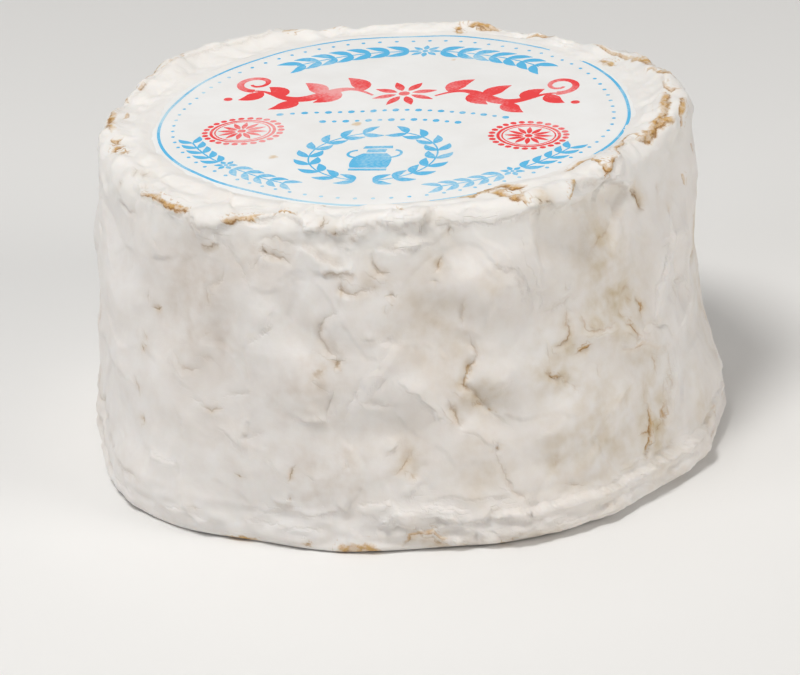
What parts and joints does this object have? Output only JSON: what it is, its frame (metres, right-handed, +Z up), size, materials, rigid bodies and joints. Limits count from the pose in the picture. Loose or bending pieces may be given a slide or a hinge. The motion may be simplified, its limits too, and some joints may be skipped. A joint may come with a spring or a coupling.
{
  "type": "chaource cheese",
  "caption": "Small upright drum of soft cheese with an uneven white bloomy rind, a flared foot and a round paper disc laid in its top.",
  "frame": {"origin": "middle of the drum's bounding box, on the flat base it stands on", "axes": "+Z up through the paper disc, -Y towards the side that the picture shows, +X to that side's right"},
  "size_m": [0.1128, 0.1138, 0.0576],
  "materials": {
    "rind": "white bloomy mould rind, matt and slightly downy, with tan hollows and ochre breaks",
    "label_paper": "white printed paper, matt, with a plain blue and red ornament"
  },
  "bodies": {
    "root": {"cheese": "rind", "label": "label_paper"}
  },
  "joints": []
}
